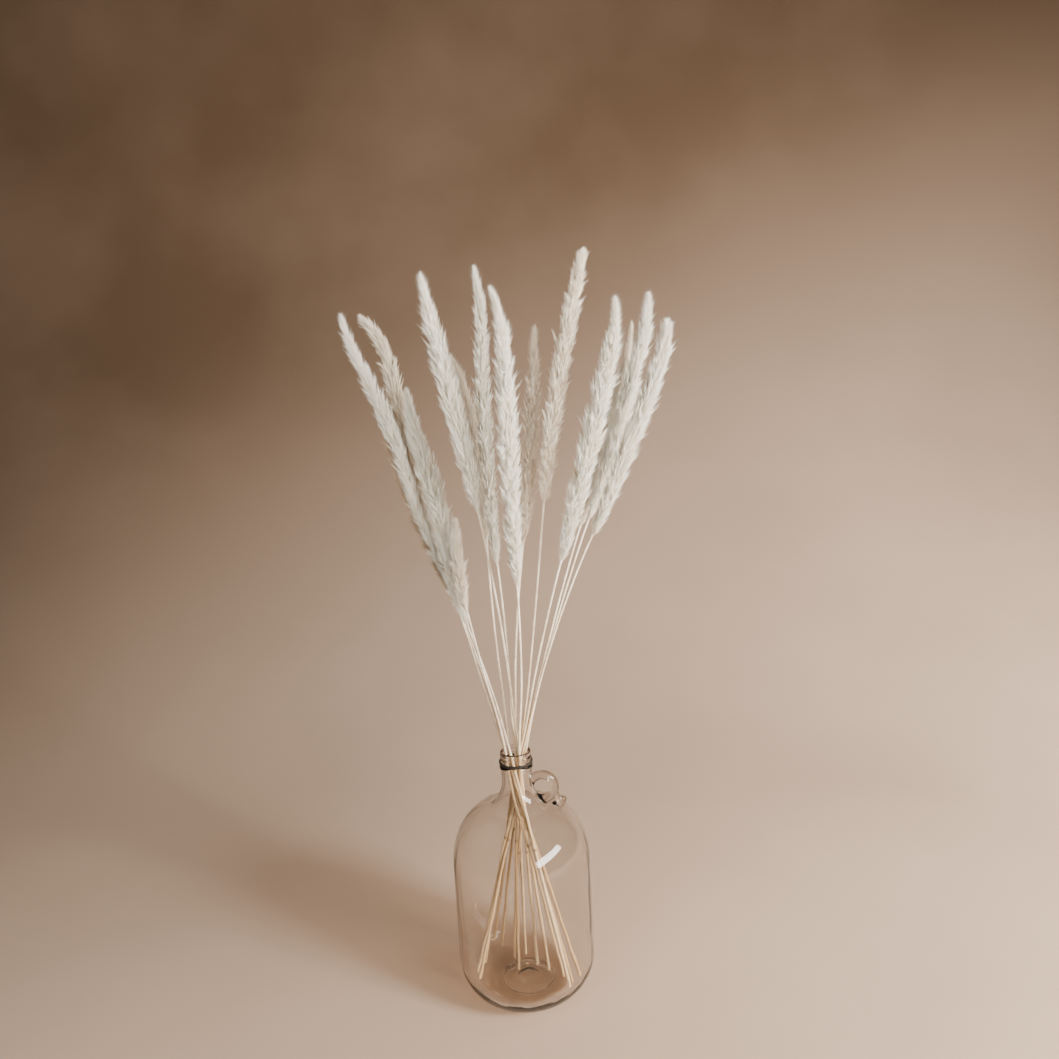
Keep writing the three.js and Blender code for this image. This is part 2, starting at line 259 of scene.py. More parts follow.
def area_light(name, place, target, size, power, tint, roll=0.0, mirrored=True):
    """A rectangular light at a place, facing a target. One that isn't mirrored can't be seen in glass."""
    data = bpy.data.lights.new(name, "AREA")
    data.shape = "RECTANGLE"
    data.size, data.size_y = size
    data.energy = power
    data.color = tint
    lamp = bpy.data.objects.new(name, data)
    scene.collection.objects.link(lamp)
    lamp.matrix_world = Matrix.Translation(place) @ (
        (Vector(target) - Vector(place)).to_track_quat("-Z", "Y").to_matrix().to_4x4()
        @ Matrix.Rotation(roll, 4, "Z"))
    lamp.visible_glossy = lamp.visible_transmission = mirrored


area_light("window", (1.45, -1.15, 0.78), target=(0, 0, 0.42), size=(1.7, 0.36), power=66,
           tint=DAYLIGHT, roll=WINDOW_ROLL)
area_light("daylight", (1.45, -1.0, 0.92), target=(0, 0, 0.35), size=(0.42, 0.42), power=90,
           tint=DAYLIGHT, mirrored=False)
area_light("overhead", (0.8, -0.4, 2.1), target=(0.1, 0.1, 0), size=(1.2, 1.2), power=10,
           tint=WARM_BOUNCE, mirrored=False)
area_light("left_fill", (-0.75, -0.95, 0.95), target=(-0.05, 0, 0.62), size=(0.7, 0.7), power=11,
           tint=COOL_BOUNCE, mirrored=False)
area_light("paper_glow", (1.6, 0.3, 0.5), target=(0.8, 0.95, 0.0), size=(0.5, 0.5), power=14,
           tint=PAPER_BOUNCE, mirrored=False)

room = bpy.data.worlds.new("room_air")
room.use_nodes = True
air = room.node_tree.nodes["Background"]
air.inputs["Color"].default_value = ROOM_TINT
air.inputs["Strength"].default_value = ROOM_STRENGTH
scene.world = room
print("lights, in watts:", {lamp.name: round(lamp.energy) for lamp in bpy.data.lights})

# %% [markdown]
# The jug was blown into a mould: a straight wall, a round heel, a full shoulder and a narrow neck with a
# screw mouth. A turned shape like that is one outline spun round the axis. The outside and the inside
# have outlines of the same kind, an even wall apart, so one function draws both. The glass between them
# has a real thickness, and light bends in it as it should.

# %% The jug's sizes
JUG_HEIGHT = 292 * MM
JUG_RADIUS = 80 * MM
GLASS_WALL = 3.5 * MM
FLOOR_THICKNESS = 6 * MM
HEEL_RADIUS = 43 * MM
WALL_HEIGHT = 160 * MM
SHOULDER_RISE = 66 * MM
SHOULDER_REACH = 50 * MM
SHOULDER_TURN = 0.47 * math.pi
NECK_RADIUS = 17.5 * MM
NECK_LENGTH = 34 * MM
SWEEP_PULL_OFF = 0.4  # the two shares and the lift shape the curve from the shoulder into the neck
SWEEP_PULL_DOWN = 0.5
SWEEP_LIFT = 1.5 * MM


def arc(centre, across, rise, start, end, steps):
    """Points of an elliptic arc in the (radius, height) plane."""
    angles = np.linspace(start, end, steps + 1)
    return [(centre[0] + across * math.cos(a), centre[1] + rise * math.sin(a)) for a in angles]


def curve_to(start, first, second, end, steps):
    """Points of a Bezier curve after its start."""
    points = []
    for t in np.linspace(0, 1, steps + 1)[1:]:
        weights = ((1 - t) ** 3, 3 * t * (1 - t) ** 2, 3 * t * t * (1 - t), t ** 3)
        weighted = list(zip(weights, (start, first, second, end)))
        points.append(tuple(sum(weight * point[i] for weight, point in weighted) for i in (0, 1)))
    return points


def wall_outline(inset, floor):
    """Heel, wall, shoulder and the sweep into the neck; an inset of the glass wall gives the inside."""
    heel_centre = (JUG_RADIUS - HEEL_RADIUS, HEEL_RADIUS)
    shoulder_centre = (JUG_RADIUS - SHOULDER_REACH, WALL_HEIGHT)
    neck = NECK_RADIUS - inset
    neck_start = JUG_HEIGHT - NECK_LENGTH
    points = arc(heel_centre, HEEL_RADIUS - inset, HEEL_RADIUS - floor, -math.pi / 2, 0, steps=26)
    points += [(JUG_RADIUS - inset, z) for z in np.linspace(HEEL_RADIUS, WALL_HEIGHT, 8)[1:-1]]
    points += arc(shoulder_centre, SHOULDER_REACH - inset, SHOULDER_RISE - inset, 0, SHOULDER_TURN,
                  steps=30)
    top = points[-1]
    first = (top[0] - SWEEP_PULL_OFF * (top[0] - neck), top[1] + SWEEP_LIFT)
    second = (neck, neck_start - SWEEP_PULL_DOWN * (neck_start - top[1]))
    return points + curve_to(top, first, second, (neck, neck_start), steps=16)


print("jug wall points:", len(wall_outline(0, 0)))

# %% [markdown]
# Spinning is done here by hand: every outline point becomes a ring of vertices, and points on the axis
# become single poles. That leaves room for a rule that moves a vertex by its angle, which the screw
# thread and the band's stubs both need.

# %% Spin an outline into a closed solid
ON_AXIS = 1e-7  # a radius below this is a pole


def as_drawn(radius, height, turn):
    """The rule that leaves every point where its outline puts it."""
    return radius, height


def spun(name, outline, sides, rule=as_drawn, material=None):
    """A closed solid from an outline of (radius, height) that starts and ends on the axis or joins up."""
    vertices, rings = [], []
    for radius, height in outline:
        if radius < ON_AXIS:
            rings.append([len(vertices)])
            vertices.append((0, 0, height))
            continue
        rings.append(list(range(len(vertices), len(vertices) + sides)))
        for k in range(sides):
            turn = k / sides
            out, z = rule(radius, height, turn)
            vertices.append((out * math.cos(2 * math.pi * turn), out * math.sin(2 * math.pi * turn), z))
    faces = []
    pairs = list(zip(rings, rings[1:]))
    if outline[0][0] > ON_AXIS:
        pairs.append((rings[-1], rings[0]))
    for low, high in pairs:
        for k in range(sides):
            n = (k + 1) % sides
            if len(low) == 1:
                faces.append((low[0], high[n], high[k]))
            elif len(high) == 1:
                faces.append((low[k], low[n], high[0]))
            else:
                faces.append((low[k], low[n], high[n], high[k]))
    return mesh_object(name, vertices, faces, material)


print("spinning helpers:", ", ".join(helper.__name__ for helper in (as_drawn, spun)))

# %% [markdown]
# A screw mouth has a bead round its foot and a thread that climbs round it. Rings alone would close a
# thread on itself, and it would hold no cap. So the thread is a rule for the spin: it lifts the glass
# along a helix, which fades in at its foot and out at its top.

# %% The screw thread
BEAD_TOP = JUG_HEIGHT - 15 * MM
THREAD_PITCH = 4.2 * MM
THREAD_PROUD = 0.55 * MM
THREAD_HALF_WIDTH = 0.3  # of the pitch
THREAD_FOOT = BEAD_TOP + 4.6 * MM
THREAD_TOP = JUG_HEIGHT - 2.6 * MM
THREAD_TURNS = (THREAD_TOP - THREAD_FOOT) / THREAD_PITCH
THREAD_RUN_OUT = 0.1  # turns that each end runs on for
THREAD_FADE = 6  # an end fades over one turn divided by this
HALF_TURN = 0.5
SKIN = 0.2 * MM  # anything deeper under the neck's outside isn't part of the thread


def thread(radius, height, turn):
    """Raises the outside of the mouth along a helix that fades in and out."""
    if radius < NECK_RADIUS - SKIN or not THREAD_FOOT - THREAD_PITCH < height < THREAD_TOP + THREAD_PITCH:
        return radius, height
    wound = (height - THREAD_FOOT) / THREAD_PITCH - turn
    nearest = round(wound)
    if not -HALF_TURN <= nearest + turn <= THREAD_TURNS + HALF_TURN:
        return radius, height
    ridge = max(0.0, 1 - ((wound - nearest) / THREAD_HALF_WIDTH) ** 2)
    fade_in = max(0.0, nearest + turn + THREAD_RUN_OUT) * THREAD_FADE
    fade_out = max(0.0, THREAD_TURNS + THREAD_RUN_OUT - nearest - turn) * THREAD_FADE
    return radius + THREAD_PROUD * ridge * min(1.0, fade_in, fade_out), height


print("thread turns:", round(THREAD_TURNS, 2))

# %% [markdown]
# The jug starts as two closed solids, the full jug and the hollow inside it, because the finger ring has
# to melt into the outside before the hollow is cut. Underneath, the base is pushed up in the middle, so
# the jug stands on a ring. Inside, the floor is a little higher in the middle and carries two low rings
# that the mould left.

# %% The jug and its hollow
JUG_SIDES = 160
BEAD_HEIGHT = 6 * MM
BEAD_PROUD = 1.8 * MM
LIP_ROUND = 1.2 * MM
STAND_RADIUS = JUG_RADIUS - HEEL_RADIUS
PUSH_UP = 3.0 * MM  # how high the base is pushed up
PUSH_UP_FROM = 0.25  # shares of the standing radius between which the push-up slopes down
PUSH_UP_TO = 0.95
FLOOR_CROWN = 1.2 * MM  # how much higher the floor is within the outer ring
FLOOR_RINGS = (  # middle, half width, rise, floor level within and beyond the ring
    (14 * MM, 2.0 * MM, 0.5 * MM, FLOOR_CROWN, FLOOR_CROWN),
    (31 * MM, 2.4 * MM, 1.5 * MM, FLOOR_CROWN, 0.0),
)
CUT_THROUGH = 0.5 * MM  # the hollow's solid ends this far above the mouth
BEAD_ARC = (-0.45 * math.pi, 0.5 * math.pi)
ABOVE_BEAD = 0.4 * MM
MOUTH_RINGS = 34  # close enough together to show the thread

outside = [(0, PUSH_UP)]
for share in np.linspace(PUSH_UP_FROM, PUSH_UP_TO, 15):
    slope = math.cos(math.pi * (share - PUSH_UP_FROM) / (PUSH_UP_TO - PUSH_UP_FROM))
    outside.append((share * STAND_RADIUS, PUSH_UP * 0.5 * (1 + slope)))
outside += wall_outline(0, 0)
outside += [(NECK_RADIUS, BEAD_TOP - BEAD_HEIGHT)]
outside += arc((NECK_RADIUS, BEAD_TOP - BEAD_HEIGHT / 2), BEAD_PROUD, BEAD_HEIGHT / 2,
               *BEAD_ARC, steps=10)
mouth_heights = np.linspace(BEAD_TOP + ABOVE_BEAD, JUG_HEIGHT - LIP_ROUND, MOUTH_RINGS)
outside += [(NECK_RADIUS, z) for z in mouth_heights]
outside += arc((NECK_RADIUS - LIP_ROUND, JUG_HEIGHT - LIP_ROUND), LIP_ROUND, LIP_ROUND,
               0.1, math.pi / 2, steps=6)
outside += [(NECK_RADIUS - GLASS_WALL + LIP_ROUND, JUG_HEIGHT), (0, JUG_HEIGHT)]

inside = [(0, FLOOR_THICKNESS + FLOOR_CROWN)]
for middle, half_width, rise, within, beyond in FLOOR_RINGS:
    for t in np.linspace(-1, 1, 11):
        level = FLOOR_THICKNESS + (within if t < 0 else beyond)
        inside.append((middle + half_width * t, level + rise * math.cos(math.pi / 2 * t)))
inside += wall_outline(GLASS_WALL, FLOOR_THICKNESS)
inner_neck = NECK_RADIUS - GLASS_WALL
inside += [(inner_neck, JUG_HEIGHT - 1.5 * LIP_ROUND),
           (inner_neck + 0.4 * LIP_ROUND, JUG_HEIGHT - 0.4 * LIP_ROUND),
           (inner_neck + LIP_ROUND, JUG_HEIGHT + CUT_THROUGH), (0, JUG_HEIGHT + CUT_THROUGH)]
full_jug = spun("full_jug", outside, JUG_SIDES, thread)
hollow = spun("hollow", inside, JUG_SIDES)
print("outline points outside and inside:", len(outside), len(inside))

# %% [markdown]
# The finger ring was pressed on while the glass was soft, so its parts run into each other, and a plain
# torus would lack those melted joints. So blobs of glass are laid along its path first, close enough to
# overlap. A short foot under the ring and a tail with three lobes are laid in the same way.

# %% Lay the finger ring
RING_HOLE = 18.5 * MM
RING_THICKNESS = 10.6 * MM
RING_OFF_NECK = 1.6 * MM  # from the neck's outside to the edge of the ring's hole
RING_BELOW_MOUTH = 46 * MM
RING_PLACE = (NECK_RADIUS + RING_HOLE / 2 + RING_OFF_NECK, JUG_HEIGHT - RING_BELOW_MOUTH)
RING_MIDDLE = (RING_HOLE + RING_THICKNESS) / 2
RING_BALL = RING_THICKNESS / 2 * 0.98  # the radius of the balls that make it
LOOP_STEPS = 56
TAIL_ROOT = (0.9 * RING_MIDDLE, -0.4 * RING_MIDDLE)
TAIL_END = (22 * MM, -20 * MM)
TAIL_THICKNESS = 9.4 * MM
TAIL_RADII = (TAIL_THICKNESS * 0.42, TAIL_THICKNESS * 0.46)  # at its root and at its end
TAIL_LOBES = (
    ((24 * MM, -16.5 * MM), 3.9 * MM),
    ((21 * MM, -22 * MM), 4.3 * MM),
    ((14 * MM, -22.5 * MM), 4.0 * MM),
)
BALL_SPACING = 0.22  # of a ball's radius


def blob_bar(work, start, end, radius_start, radius_end):
    """A row of overlapping balls from start to end, given as (right, up) from the ring's centre."""
    length = math.hypot(end[0] - start[0], end[1] - start[1])
    count = max(2, int(length / (BALL_SPACING * radius_start)) + 1)
    for t in np.linspace(0, 1, count):
        x = RING_PLACE[0] + start[0] + t * (end[0] - start[0])
        z = RING_PLACE[1] + start[1] + t * (end[1] - start[1])
        radius = radius_start + t * (radius_end - radius_start)
        ball_place = Matrix.Translation((x, 0, z))
        bmesh.ops.create_icosphere(work, subdivisions=3, radius=radius, matrix=ball_place)


def on_ring(step):
    """The place of a step round the ring's middle line."""
    angle = 2 * math.pi * step / LOOP_STEPS
    return RING_MIDDLE * math.cos(angle), RING_MIDDLE * math.sin(angle)


work = bmesh.new()
for step in range(LOOP_STEPS):
    blob_bar(work, on_ring(step), on_ring(step + 1), RING_BALL, RING_BALL)
blob_bar(work, TAIL_ROOT, TAIL_END, *TAIL_RADII)
for lobe, radius in TAIL_LOBES:
    blob_bar(work, lobe, lobe, radius, radius)
ring_foot = (0, -RING_MIDDLE - RING_THICKNESS / 2)
blob_bar(work, (0, -RING_MIDDLE), ring_foot, RING_THICKNESS / 2, RING_THICKNESS / 2)
ring_mesh = bpy.data.meshes.new("ring_blobs")
work.to_mesh(ring_mesh)
work.free()
ring = bpy.data.objects.new("ring_blobs", ring_mesh)
scene.collection.objects.link(ring)
print("faces of all the blobs:", len(ring_mesh.polygons))

# %% [markdown]
# A voxel remesh wraps one skin round all the balls, and a Smooth modifier rounds off the steps it leaves.
# Both are modifiers, so the ring is then settled into a plain mesh. The jug, the culms and the plumes are
# settled in the same way later, because an export needs plain meshes.

# %% Melt the ring
VOXEL = 0.8 * MM


def settled(piece):
    """Turns a piece with its modifiers into a plain mesh, and removes the modifiers."""
    graph = bpy.context.evaluated_depsgraph_get()
    mesh = bpy.data.meshes.new_from_object(piece.evaluated_get(graph), depsgraph=graph)
    old = piece.data
    piece.modifiers.clear()
    piece.data = mesh
    bpy.data.meshes.remove(old)
    return piece


melt = ring.modifiers.new("melt", "REMESH")
melt.mode = "VOXEL"
melt.voxel_size = VOXEL
soften = ring.modifiers.new("soften", "SMOOTH")
soften.factor, soften.iterations = 0.5, 6
settled(ring)
print("finger ring faces:", len(ring.data.polygons))

# %% [markdown]
# Clear glass takes nearly all of its look from what is behind and around it, so the Principled shader
# only needs its transmission weight. Soft unevenness in the mould's skin bends reflections a little: it
# is noise drawn out along the height. Thick glass looks browner than thin glass, so the tint is a Volume
# Absorption, which grows with the way that light travels inside. A solid that bends light casts a dark
# shadow, so shadow rays alone meet a tinted Transparent shader instead, and light reaches the stems and
# the floor.

# %% Glass
GLASS_SHADOW = (0.78, 0.73, 0.67, 1)
GLASS_TINT = (0.62, 0.52, 0.41, 1)
RIPPLE_DRAWN_OUT = (1.0, 1.0, 0.35)

glass, tree, shader, place = principled(
    "clear_glass", Base_Color=(0.985, 0.98, 0.97, 1), Roughness=0.0, IOR=1.5, Transmission_Weight=1.0)
drawn_out = put(tree, "ShaderNodeMapping", Vector=place, Scale=RIPPLE_DRAWN_OUT)
ripple = put(tree, "ShaderNodeTexNoise", Vector=drawn_out.outputs["Vector"], Scale=24.0, Detail=2.0)
bump(tree, shader, ripple.outputs["Fac"], strength=0.6, distance=0.0018)
passed = put(tree, "ShaderNodeBsdfTransparent", Color=GLASS_SHADOW)
shadow_ray = put(tree, "ShaderNodeLightPath").outputs["Is Shadow Ray"]
either = put(tree, "ShaderNodeMixShader", Fac=shadow_ray)
tree.links.new(shader.outputs["BSDF"], either.inputs[1])
tree.links.new(passed.outputs["BSDF"], either.inputs[2])
tree.links.new(either.outputs["Shader"], tree.nodes["Material Output"].inputs["Surface"])
soaked = put(tree, "ShaderNodeVolumeAbsorption", Color=GLASS_TINT, Density=52.0)
tree.links.new(soaked.outputs["Volume"], tree.nodes["Material Output"].inputs["Volume"])
print("glass nodes:", len(tree.nodes))

# %% [markdown]
# Two Boolean steps finish the jug. The ring melts into the full jug first, and then the hollow is taken
# out of both, so nothing of the ring is left inside the neck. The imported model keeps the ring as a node
# of its own, but the real jug is one piece of glass, so this piece replaces both nodes. Edges sharper
# than fifty degrees stay sharp under smooth shading.

# %% Join the ring and cut the hollow
SHARP_ANGLE = math.radians(50)

for other, operation in ((ring, "UNION"), (hollow, "DIFFERENCE")):
    cut = full_jug.modifiers.new(operation.lower(), "BOOLEAN")
    cut.operation, cut.solver, cut.object = operation, "EXACT", other
jug = settled(full_jug)
jug.name = "glass_jug"
for spare in (ring, hollow):
    bpy.data.objects.remove(spare)
jug.data.materials.clear()
jug.data.materials.append(glass)
jug.data.shade_smooth()
jug.data.set_sharp_from_angle(angle=SHARP_ANGLE)
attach(jug, "root")
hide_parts("jug", "finger_ring")
print("jug faces:", len(jug.data.polygons))

# %% [markdown]
# The band is the black plastic ring that a screw cap leaves behind, caught above the bead. Its upper edge
# still carries the small stubs where it broke from the cap. It is a rounded outline spun round the neck,
# with a rule that raises the stubs, and noise dulls its gloss in scuffs.

# %% The black band
BAND_INSIDE = NECK_RADIUS + 0.4 * MM
BAND_THICKNESS = 1.5 * MM
BAND_FOOT = BEAD_TOP + 0.8 * MM
BAND_HEIGHT = 2.8 * MM
BAND_ROUND = 0.45 * MM
BAND_SIDES = 192
STUBS = 12
STUB_WIDTH = 0.18  # of the space between two stubs
STUB_HEIGHT = 0.35 * MM
UPPER_EDGE = BAND_FOOT + 0.8 * BAND_HEIGHT  # only what is above this is lifted


def stubs(radius, height, turn):
    """Lifts the band's upper edge at each stub."""
    beside = abs((turn * STUBS) % 1 - 0.5)
    lifted = STUB_HEIGHT * max(0.0, 1 - (beside / STUB_WIDTH) ** 4)
    return radius, height + (lifted if height > UPPER_EDGE else 0.0)


section = []
for corner_x, corner_z, start in ((1, 0, -90), (1, 1, 0), (0, 1, 90), (0, 0, 180)):
    centre = (BAND_INSIDE + (BAND_ROUND if corner_x == 0 else BAND_THICKNESS - BAND_ROUND),
              BAND_FOOT + (BAND_ROUND if corner_z == 0 else BAND_HEIGHT - BAND_ROUND))
    section += arc(centre, BAND_ROUND, BAND_ROUND, math.radians(start), math.radians(start + 90), steps=5)

black, tree, shader, place = principled("black_plastic", Base_Color=(0.012, 0.011, 0.01, 1))
scuffs = put(tree, "ShaderNodeTexNoise", Vector=place, Scale=700.0, Detail=4.0)
dulled = put(tree, "ShaderNodeMapRange", Value=scuffs.outputs["Fac"], To_Min=0.3, To_Max=0.55)
tree.links.new(dulled.outputs["Result"], shader.inputs["Roughness"])
bump(tree, shader, scuffs.outputs["Fac"], strength=0.2, distance=0.0001)
band = spun("cap_band", section, BAND_SIDES, stubs, black)
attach(band, "root")
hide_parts("neck_band")
print("band faces:", len(band.data.polygons))

# %% [markdown]
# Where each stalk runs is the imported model's business. Its centre line is read back by cutting the stem
# and the plume with level planes and taking the middle of each cut. The plume's half width at each height
# comes from the same cuts.

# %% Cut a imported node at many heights
LEVEL_STEP = 5 * MM
END_MARGIN = 0.6 * MM


def level_cuts(node):
    """Centres (n, 3) and half widths (n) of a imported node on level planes."""
    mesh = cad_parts[node].data
    mesh.calc_loop_triangles()
    points = np.array([v.co for v in mesh.vertices])
    corners = np.array([t.vertices for t in mesh.loop_triangles])
    edges = np.concatenate([corners[:, [0, 1]], corners[:, [1, 2]], corners[:, [2, 0]]])
    low, high = points[:, 2].min() + END_MARGIN, points[:, 2].max() - END_MARGIN
    centres, halves = [], []
    for z in np.linspace(low, high, int((high - low) / LEVEL_STEP) + 2):
        a, b = points[edges[:, 0]], points[edges[:, 1]]
        through = (a[:, 2] - z) * (b[:, 2] - z) < 0
        a, b = a[through], b[through]
        cut = a + ((z - a[:, 2]) / (b[:, 2] - a[:, 2]))[:, None] * (b - a)
        spread = cut.max(0) - cut.min(0)
        centres.append((cut.max(0) + cut.min(0)) / 2)
        halves.append(spread[:2].min() / 2)
    return np.array(centres), np.array(halves)


print("level cuts through the first plume:", len(level_cuts("plume_01")[0]))

# %% [markdown]
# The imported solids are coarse, so a line read from them has small corners. Averaging each point with its
# neighbours a few times takes those out and keeps the ends where they are. A stem's line and its plume's
# are smoothed as one, so the stalk runs on through the collar between them.

# %% Read each stalk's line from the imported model
LINE_PASSES = 4  # of smoothing
WIDTH_PASSES = 3


def smoothed(values, passes):
    """Averages each value with its neighbours, and keeps both ends."""
    values = values.copy()
    for _ in range(passes):
        values[1:-1] = 0.25 * values[:-2] + 0.5 * values[1:-1] + 0.25 * values[2:]
    return values


def lengths_along(line):
    """The length from the start to each point of a line."""
    return np.concatenate([[0], np.cumsum(np.linalg.norm(np.diff(line, axis=0), axis=1))])


def spaced(line, values, step):
    """The line and its values again, at even lengths."""
    length = lengths_along(line)
    even = np.linspace(0, length[-1], max(3, int(length[-1] / step) + 1))
    return (np.stack([np.interp(even, length, line[:, i]) for i in range(3)], 1),
            np.interp(even, length, values), even)


stalks = []
for number in range(1, STALKS + 1):
    stem_line, _ = level_cuts(f"stem_{number:02d}")
    plume_line, plume_half = level_cuts(f"plume_{number:02d}")
    whole = smoothed(np.concatenate([stem_line, plume_line]), LINE_PASSES)
    stalks.append({
        "line": whole,
        "collar": len(stem_line),
        "plume": whole[len(stem_line):],
        "half": smoothed(plume_half, WIDTH_PASSES),
    })
print("stalk lengths:", [round(float(lengths_along(s["line"])[-1]), 3) for s in stalks])

# %% [markdown]
# Each culm is a thin hollow straw that tapers from foot to tip. It swells a little at its joints, where
# an old leaf sheath left a dark ring, and runs on inside the plume as the axis that carries the hair. A
# tube along a path is work for Geometry Nodes: the line carries its own thickness as an attribute, and
# Curve to Mesh follows it. One tree serves all the culms.

# %% The culm tree
def input_of(tree, name):
    """The identifier of a tree's input, which is the key a modifier stores it under."""
    return next(i.identifier for i in tree.interface.items_tree
                if i.item_type == "SOCKET" and i.in_out == "INPUT" and i.name == name)


def grow(piece, tree, values):
    """Runs a Geometry Nodes tree on a piece with the given inputs and keeps the result as a plain mesh."""
    modifier = piece.modifiers.new(tree.name, "NODES")
    modifier.node_group = tree
    for name, value in values.items():
        modifier[input_of(tree, name)] = value
    piece.update_tag()
    return settled(piece)


GEOMETRY_ENDS = [
    ("Geometry", "NodeSocketGeometry", None, "INPUT"),
    ("Geometry", "NodeSocketGeometry", None, "OUTPUT"),
    ("Material", "NodeSocketMaterial", None, "INPUT"),
]
culm_tree = group_of("Culm", GEOMETRY_ENDS + [("Sides", "NodeSocketInt", 12, "INPUT")], "GeometryNodeTree")
given = put(culm_tree, "NodeGroupInput").outputs
path = put(culm_tree, "GeometryNodeMeshToCurve", Mesh=given["Geometry"])
thickness = put(culm_tree, "GeometryNodeInputNamedAttribute", {"data_type": "FLOAT"}, Name="thickness")
circle = put(culm_tree, "GeometryNodeCurvePrimitiveCircle", Resolution=given["Sides"], Radius=0.5)
tube = put(culm_tree, "GeometryNodeCurveToMesh", Curve=path.outputs["Curve"],
           Profile_Curve=circle.outputs["Curve"], Scale=thickness.outputs["Attribute"], Fill_Caps=True)
real = put(culm_tree, "GeometryNodeRealizeInstances", Geometry=tube.outputs["Mesh"])
coated = put(culm_tree, "GeometryNodeSetMaterial", Geometry=real.outputs["Geometry"],
             Material=given["Material"])
put(culm_tree, "NodeGroupOutput", Geometry=coated.outputs["Geometry"])
print("culm tree nodes:", len(culm_tree.nodes))

# %% [markdown]
# The culms' lines go into one mesh of loose edges, because all of them belong to one body and one finish.
# Every point carries its thickness, how close it is to a joint, how far up its culm it is, and the tone
# of its culm.

# %% The culms
FOOT_DIAMETER = 3.8 * MM
COLLAR_DIAMETER = 2.3 * MM
TIP_DIAMETER = 0.5 * MM
FIRST_JOINT = (150 * MM, 185 * MM)
JOINT_SPACING = (190 * MM, 230 * MM)
UPPER_JOINT = 0.3  # how strong the later joints are
JOINT_HALF_HEIGHT = 1.5 * MM
JOINT_SWELL = 0.28
CULM_STEP = 1.5 * MM
CULM_SIDES = 12
AXIS_SHARE = 0.93  # how far up its plume a culm runs
CULM_SEED = 14

draw = np.random.default_rng(CULM_SEED)
points, edges, thick, joint, tone, rise = [], [], [], [], [], []
for stalk in stalks:
    line, _, length = spaced(stalk["line"], np.zeros(len(stalk["line"])), CULM_STEP)
    collar = lengths_along(stalk["line"])[stalk["collar"]]
    keep = length < collar + AXIS_SHARE * (length[-1] - collar)
    line, length = line[keep], length[keep]
    diameter = np.interp(length, [0, collar, length[-1]], [FOOT_DIAMETER, COLLAR_DIAMETER, TIP_DIAMETER])
    joints = draw.uniform(*FIRST_JOINT) + np.cumsum(np.concatenate([[0], draw.uniform(*JOINT_SPACING, 2)]))
    strength = np.where(joints < FIRST_JOINT[1], 1.0, UPPER_JOINT)
    near = (strength * np.exp(-((length[:, None] - joints[None, :]) / JOINT_HALF_HEIGHT) ** 2)).max(1)
    start = len(points)
    points += list(line)
    edges += [(start + i, start + i + 1) for i in range(len(line) - 1)]
    thick += list(diameter * (1 + JOINT_SWELL * near))
    joint += list(near)
    tone += [draw.uniform(0, 1)] * len(line)
    rise += list(np.clip(length / collar, 0, 1))

culm_mesh = bpy.data.meshes.new("culms")
culm_mesh.from_pydata([tuple(p) for p in points], edges, [])
for name, values in (("thickness", thick), ("joint", joint), ("tone", tone), ("rise", rise)):
    culm_mesh.attributes.new(name, "FLOAT", "POINT").data.foreach_set("value", np.array(values, np.float32))
culms = bpy.data.objects.new("culms", culm_mesh)
scene.collection.objects.link(culms)
print("points on the culms' lines:", len(points))

# %% [markdown]
# Straw is slightly glossy, with fine fibres along its length and dull brown rings at the joints. The
# fibres are noise stretched along the height, which is nearly the way the culms run. Each culm's tone
# sets its colour between pale straw and golden brown, and all of them are paler towards the plume.

# %% Straw
def attribute(tree, name):
    """A value that the mesh carries at its points."""
    return put(tree, "ShaderNodeAttribute", {"attribute_name": name}).outputs["Fac"]


STRAW_PALE = (0.80, 0.65, 0.44, 1)
STRAW_GOLDEN = (0.42, 0.27, 0.13, 1)
STRAW_TOWARDS_PLUME = (0.87, 0.77, 0.63, 1)
STRAW_AGED = (0.42, 0.27, 0.14, 1)
STRAW_FIBRE = (0.48, 0.33, 0.18, 1)
STRAW_JOINT = (0.22, 0.13, 0.06, 1)
FIBRE_STRETCH = (1500.0, 1500.0, 22.0)

straw, tree, shader, place = principled("straw", Roughness=0.5, Specular_IOR_Level=0.4)
golden = mixed(tree, attribute(tree, "tone"), STRAW_PALE, STRAW_GOLDEN)
# the culms are darker and more golden low down and paler towards the plume
high = put(tree, "ShaderNodeMapRange", Value=attribute(tree, "rise"), From_Min=0.4, From_Max=0.95)
paler_towards_plume = mixed(tree, high.outputs["Result"], golden, STRAW_TOWARDS_PLUME)
weathered = aged(tree, place, paler_towards_plume, STRAW_AGED, scale=60.0, amount=0.5)
stretch = put(tree, "ShaderNodeMapping", Vector=place, Scale=FIBRE_STRETCH)
fibres = put(tree, "ShaderNodeTexNoise", Vector=stretch.outputs["Vector"], Scale=1.0, Detail=3.0)
fibre_share = put(tree, "ShaderNodeMapRange", Value=fibres.outputs["Fac"], From_Min=0.45, From_Max=0.72,
                  To_Max=0.5)
fibrous = mixed(tree, fibre_share.outputs["Result"], weathered, STRAW_FIBRE)
ringed = mixed(tree, attribute(tree, "joint"), fibrous, STRAW_JOINT)
tree.links.new(ringed, shader.inputs["Base Color"])
bump(tree, shader, fibres.outputs["Fac"], strength=0.3, distance=0.0003)

grow(culms, culm_tree, {"Sides": CULM_SIDES, "Material": straw})
culms.data.shade_smooth()
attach(culms, "root")
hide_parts(*[f"stem_{n:02d}" for n in range(1, STALKS + 1)])
print("culm faces:", len(culms.data.polygons))

# %% [markdown]
# A plume is thousands of silky hairs. They don't leave the axis one by one: small side twigs rise close
# to it, each with its own lock of hair, and the locks give the plume its soft scales and feathered edge.
# So the tree works the same way. A hair is a three-sided spike, a few spikes make a tuft, and tufts are
# set along each lock. All the tufts are one cloud of points: a point's number says which lock it belongs
# to and how far along it is, and random values drawn by the lock's number keep its tufts together.

